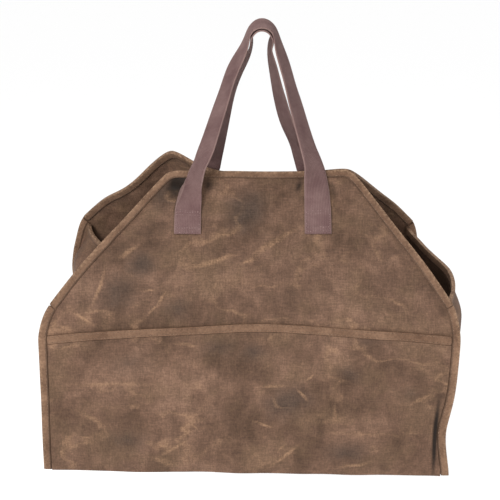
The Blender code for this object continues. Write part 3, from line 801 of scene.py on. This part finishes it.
# features of each noise in a metre of cloth, and how far the drift moves a place
CLOUDS, OLIVE_CLOUDS, MOTTLE, GRAIN = 14.0, 21.0, 55.0, 420.0
DRIFT, DRIFT_REACH = 30.0, 0.015
CREASE_WEB, CREASE_AREAS, BUCKLES = (7.0, 7.0, 12.0), 12.0, 34.0
# scales of the streaks that single threads leave, long along each thread
THREADS_UP = {"X": (650.0, 60.0, 110.0), "Y": (60.0, 650.0, 110.0)}
THREADS_ACROSS = (80.0, 80.0, 650.0)


def drifted(tree, place):
    """The same place, moved a few millimetres by noise."""
    drift = add(tree, "ShaderNodeTexNoise", {"Vector": place, "Scale": DRIFT, "Detail": 4.0})
    shift = add(tree, "ShaderNodeVectorMath", {0: drift.outputs["Color"], 1: (0.5, 0.5, 0.5)},
                operation="SUBTRACT")
    moved = add(tree, "ShaderNodeVectorMath", {0: shift.outputs[0], 1: (DRIFT_REACH,) * 3, 2: place},
                operation="MULTIPLY_ADD")
    return moved.outputs[0]


def streaks(tree, place, scales):
    """Noise drawn out along the threads: one scale for each axis."""
    stretched = add(tree, "ShaderNodeMapping", {"Vector": place, "Scale": scales})
    return cloud(tree, stretched.outputs[0], 1.0, 2.0)


def patched(tree, color, around, mottle, patches):
    """The colour with dark patches, whose edges the mottle makes ragged."""
    edge = add(tree, "ShaderNodeMath", {0: mottle, 1: 0.9, 2: -0.45}, operation="MULTIPLY_ADD")
    ragged = combined(tree, marks(tree, around, patches), edge.outputs[0], "ADD")
    return tinted(tree, color, spread(tree, ragged, 0.05, 0.75, 0.0, 0.75), linear(CANVAS_DEEP))


def crease_web(tree, place, bent):
    """Fine lines where a noise crosses its middle value, in some areas of the cloth."""
    crosswise = add(tree, "ShaderNodeMapping", {"Vector": bent, "Scale": CREASE_WEB}).outputs[0]
    level = combined(tree, cloud(tree, crosswise, 1.0, 3.0, 0.55), 0.5, "SUBTRACT")
    ridge = add(tree, "ShaderNodeMath", {0: level}, operation="ABSOLUTE").outputs[0]
    areas = spread(tree, cloud(tree, place, CREASE_AREAS, 3.0), 0.40, 0.68, 0.0, 0.50)
    return combined(tree, spread(tree, ridge, 0.0, 0.034, 1.0, 0.0), areas, "MULTIPLY")


def worn_lines(tree, around, creases):
    """The creases listed in the table: a core with a haze round it."""
    drawn = marks(tree, around, creases)
    core = spread(tree, drawn, 0.10, 1.00, 0.0, 0.55)
    haze = spread(tree, drawn, 0.0, 0.60, 0.0, 0.26)
    return combined(tree, core, haze, "ADD")


def weave_height(tree, place, across, slub):
    """Height of the plain weave, with its thick and thin threads."""
    threads = [add(tree, "ShaderNodeTexWave", {"Vector": place, "Scale": WAVE_TURN / THREAD_PITCH,
                                               "Distortion": 0.8}, bands_direction=direction).outputs[1]
               for direction in (across, "Z")]
    return combined(tree, combined(tree, *threads, "ADD"), slub, "ADD")


def canvas(name, across, creases=(), patches=(), painted_shade=()):
    """Waxed canvas whose threads run up and along the given axis."""
    material, tree, shader = new_material(name, 0.74, 0.02)
    place = add(tree, "ShaderNodeTexCoord").outputs["Object"]
    bent = drifted(tree, place)
    around, front = turned_round(tree, bent)
    mottle = cloud(tree, bent, MOTTLE, 7.0, 0.72)
    grain = cloud(tree, place, GRAIN, 3.0, 0.6)

    clouds = cloud(tree, bent, CLOUDS, 6.0, 0.66)
    color = ramp(tree, clouds, CANVAS_DARK, CANVAS_LIGHT, CANVAS_MIDDLE)
    olive = spread(tree, cloud(tree, place, OLIVE_CLOUDS, 4.0), 0.45, 0.68, 0.0, 0.50)
    color = tinted(tree, color, olive, linear(CANVAS_OLIVE))
    if patches:
        color = patched(tree, color, around, mottle, patches)
    color = shaded(tree, color, mottle, 0.30, 0.70, 0.83, 1.17)

    crease = crease_web(tree, place, bent)
    if creases:
        crease = combined(tree, crease, worn_lines(tree, around, creases), "MAXIMUM")
    broken = combined(tree, crease, spread(tree, mottle, 0.32, 0.58, 0.30, 1.0), "MULTIPLY")
    broken = combined(tree, broken, spread(tree, grain, 0.35, 0.65, 0.65, 1.0), "MULTIPLY")
    color = tinted(tree, color, combined(tree, broken, 0.95, "MULTIPLY"), linear(CANVAS_WORN))

    slub = combined(tree, streaks(tree, place, THREADS_ACROSS), streaks(tree, place, THREADS_UP[across]),
                    "ADD")
    color = shaded(tree, color, slub, 0.70, 1.30, 0.84, 1.16)
    color = shaded(tree, color, grain, 0.25, 0.75, 0.84, 1.16)
    # painted shade: the hollows beside the straps and the groove of the right seam are tinted near black,
    # on the front only
    if painted_shade:
        depth = spread(tree, marks(tree, place, painted_shade), 0.05, 0.75, 0.0, 0.92)
        color = tinted(tree, color, combined(tree, depth, front, "MULTIPLY"), linear(CANVAS_SHADOW))
    tree.links.new(color, shader.inputs["Base Color"])

    threads = relief(tree, weave_height(tree, place, across, slub), 0.35, 0.0003)
    buckle = cloud(tree, bent, BUCKLES, 5.0, 0.6)
    raised = add(tree, "ShaderNodeMath", {0: crease, 1: 0.30, 2: buckle}, operation="MULTIPLY_ADD")
    tree.links.new(relief(tree, raised.outputs[0], 0.6, 0.0040, threads), shader.inputs["Normal"])
    tree.links.new(spread(tree, crease, 0.0, 1.0, 0.68, 0.82), shader.inputs["Roughness"])
    return material


panel_canvas = canvas("waxed_canvas_panels", "X", CREASES, DARK_PATCHES, PAINTED_SHADE_MARKS)
end_canvas = canvas("waxed_canvas_ends", "Y")
print("canvas nodes:", len(panel_canvas.node_tree.nodes), len(end_canvas.node_tree.nodes))

# %% [markdown]
# The binding is the same canvas cut narrow. Along the fold it is paler, partly rubbed
# and partly a painted highlight on its rounded edge, and along the hem, where the thread
# pulls it down, it is darkened with painted shade. Two attributes on the tape say
# where those are.

# %% Binding
# the rubbed tone is also a painted highlight along the fold, and the hem tone is painted shade
TAPE_DARK, TAPE_LIGHT, TAPE_RUBBED_AND_LIT, TAPE_HEM_SHADE = "#563f30", "#775c49", "#8f755e", "#2f241d"
TAPE_CLOUDS, TAPE_GRAIN = 26.0, 300.0


def binding(name):
    """Folded canvas, paler along its fold from rubbing and a painted highlight, and darkened with painted
    shade where its hem is pulled in.
    """
    material, tree, shader = new_material(name, 0.76, 0.02)
    place = add(tree, "ShaderNodeTexCoord").outputs["Object"]
    color = ramp(tree, cloud(tree, place, TAPE_CLOUDS, 6.0, 0.65), TAPE_DARK, TAPE_LIGHT)
    fine = cloud(tree, place, TAPE_GRAIN, 4.0, 0.7)
    fold = add(tree, "ShaderNodeAttribute", attribute_name="fold").outputs["Fac"]
    hem = add(tree, "ShaderNodeAttribute", attribute_name="hem").outputs["Fac"]
    # paler along the fold: rubbed wear and a painted highlight
    along_fold = spread(tree, fold, 0.45, 1.0, 0.0, 0.7)
    rubbed_and_lit = combined(tree, along_fold, spread(tree, fine, 0.35, 0.7), "MULTIPLY")
    color = tinted(tree, color, rubbed_and_lit, linear(TAPE_RUBBED_AND_LIT))
    # painted shade along the hem
    color = tinted(tree, color, spread(tree, hem, 0.70, 1.0, 0.0, 0.60), linear(TAPE_HEM_SHADE))
    color = shaded(tree, color, fine, 0.3, 0.7, 0.80, 1.18)
    tree.links.new(color, shader.inputs["Base Color"])
    tree.links.new(relief(tree, fine, 0.6, 0.0008), shader.inputs["Normal"])
    return material


tape_cloth = binding("canvas_binding")
print("binding nodes:", len(tape_cloth.node_tree.nodes))

# %% [markdown]
# Cotton webbing is woven with thick ribs that run along it, and a tight selvage
# at each side, tinted paler as a painted highlight where it catches the light. Dye
# takes it a little redder than canvas.
# Its pattern lies in the strap's own UV map, so it turns with the strap.

# %% Webbing and thread
RIB_PITCH = 0.0024                   # real ribs are 1.2 mm apart, drawn coarser to show
PICK_PITCH = 0.0019
SELVAGE, SELVAGE_EDGE = 0.0172, 0.0012   # from the middle of the strap, and how soft it begins
# the selvage tone is a painted highlight along both edges of the strap
STRAP_DARK, STRAP_LIGHT, STRAP_SELVAGE_HIGHLIGHT = "#5e4645", "#745c59", "#8a736c"
STRAP_CLOUDS, TWIST = 30.0, 400.0


def webbing(name):
    """Ribbed cotton webbing, on the strap's own UV map in metres."""
    material, tree, shader = new_material(name, 0.86, 0.05)
    place = add(tree, "ShaderNodeTexCoord").outputs["Object"]
    strap = add(tree, "ShaderNodeUVMap", uv_map="strap").outputs[0]
    ribs = add(tree, "ShaderNodeTexWave", {"Vector": strap, "Scale": WAVE_TURN / RIB_PITCH,
                                           "Distortion": 0.5}, bands_direction="X")
    picks = add(tree, "ShaderNodeTexWave", {"Vector": strap, "Scale": WAVE_TURN / PICK_PITCH,
                                            "Distortion": 1.0}, bands_direction="Y")
    weave = combined(tree, ribs.outputs[1], picks.outputs[1], "ADD")
    color = ramp(tree, cloud(tree, place, STRAP_CLOUDS, 5.0), STRAP_DARK, STRAP_LIGHT)
    color = shaded(tree, color, weave, 0.0, 2.0, 0.86, 1.12)
    split = add(tree, "ShaderNodeSeparateXYZ", {0: strap})
    aside = add(tree, "ShaderNodeMath", {0: split.outputs[0]}, operation="ABSOLUTE").outputs[0]
    # painted highlight: both selvages of the strap are tinted paler
    edge = spread(tree, aside, SELVAGE, SELVAGE + SELVAGE_EDGE, 0.0, 0.45)
    tree.links.new(tinted(tree, color, edge, linear(STRAP_SELVAGE_HIGHLIGHT)), shader.inputs["Base Color"])
    tree.links.new(relief(tree, weave, 0.7, 0.0005), shader.inputs["Normal"])
    return material


def thread_finish(name, dull, bright):
    """Waxed cotton thread between two tones."""
    material, tree, shader = new_material(name, 0.60, 0.06)
    place = add(tree, "ShaderNodeTexCoord").outputs["Object"]
    twist = spread(tree, cloud(tree, place, TWIST, 2.0), 0.3, 0.7)
    tree.links.new(tinted(tree, linear(dull), twist, linear(bright)), shader.inputs["Base Color"])
    return material


strap_cloth = webbing("cotton_webbing")
thread_cotton = thread_finish("brown_cotton_thread", "#4d3b30", "#7f6856")
strap_cotton = thread_finish("mauve_cotton_thread", "#5f4a48", "#8f7773")
print("materials:", [material.name for material in bpy.data.materials])

# %% [markdown]
# Each piece now takes its material, hides the solid that it stands for, and rides on
# the bag's one rigid body.

def dress(piece, material, slot, *nodes):
    """Gives a piece its material and a place on the bag's body, and hides the solids that it stands for.
    The slot is not used.
    """
    piece.data.materials.append(material)
    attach(piece, "root")
    if nodes:
        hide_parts(*nodes)


dress(strip, panel_canvas, "waxed_canvas", "cloth_strip")
dress(layer, panel_canvas, "waxed_canvas", "outer_layer")
for side, gusset in gussets.items():
    dress(gusset, end_canvas, "waxed_canvas", side + "_gusset")
for node, piece in {**bindings, **bands}.items():
    dress(piece, tape_cloth, "binding_tape", node)
for node, piece in handles.items():
    dress(piece, strap_cloth, "webbing", node)
dress(thread, thread_cotton, "binding_tape")
dress(strap_thread, strap_cotton, "webbing")

# %% [markdown]
# The bag hangs over a plain pale floor and is lit softly: a broad light from the
# upper left, a weaker one from the right and an even world. A wide sun from behind
# only brightens the floor and the top edges, so the inside of the bag stays dark.

# %% Floor and light
FLOOR_DROP, FLOOR_SIZE = 0.55, 60
SKY_STRENGTH = 0.55
SUN_STRENGTH, SUN_WIDTH, SUN_TURN = 1.75, math.radians(12), math.radians(-32)

bm = bmesh.new()
bmesh.ops.create_grid(bm, x_segments=1, y_segments=1, size=FLOOR_SIZE,
                      matrix=Matrix.Translation((0, 0, BASE - FLOOR_DROP)))
floor_mesh = bpy.data.meshes.new("floor")
bm.to_mesh(floor_mesh)
bm.free()
floor = bpy.data.objects.new("floor", floor_mesh)
bpy.context.collection.objects.link(floor)
floor_material, _, floor_shader = new_material("pale_floor", 0.9, 0.0)
floor_shader.inputs["Base Color"].default_value = linear("#fcfcfc")
floor_mesh.materials.append(floor_material)

world = bpy.data.worlds.new("studio")
world.use_nodes = True
world.node_tree.nodes["Background"].inputs["Color"].default_value = linear("#ffffff")
world.node_tree.nodes["Background"].inputs["Strength"].default_value = SKY_STRENGTH
bpy.context.scene.world = world
bpy.context.scene.view_settings.view_transform = "Standard"


def softbox(name, place, size, power):
    """A square area light that faces the bag."""
    light = bpy.data.lights.new(name, "AREA")
    light.size = size
    light.energy = power
    lamp = bpy.data.objects.new(name, light)
    lamp.location = place
    lamp.rotation_euler = (AIM - Vector(place)).to_track_quat("-Z", "Y").to_euler()
    bpy.context.collection.objects.link(lamp)


softbox("key", (-0.9, -1.9, 0.9), 1.0, 52)
softbox("fill", (0.9, -2.0, -0.1), 1.2, 9)

back_light = bpy.data.lights.new("back", "SUN")
back_light.energy = SUN_STRENGTH
back_light.angle = SUN_WIDTH
back_lamp = bpy.data.objects.new("back", back_light)
back_lamp.rotation_euler = (SUN_TURN, 0, 0)
bpy.context.collection.objects.link(back_lamp)
print("lights:", [light.name for light in bpy.data.lights])
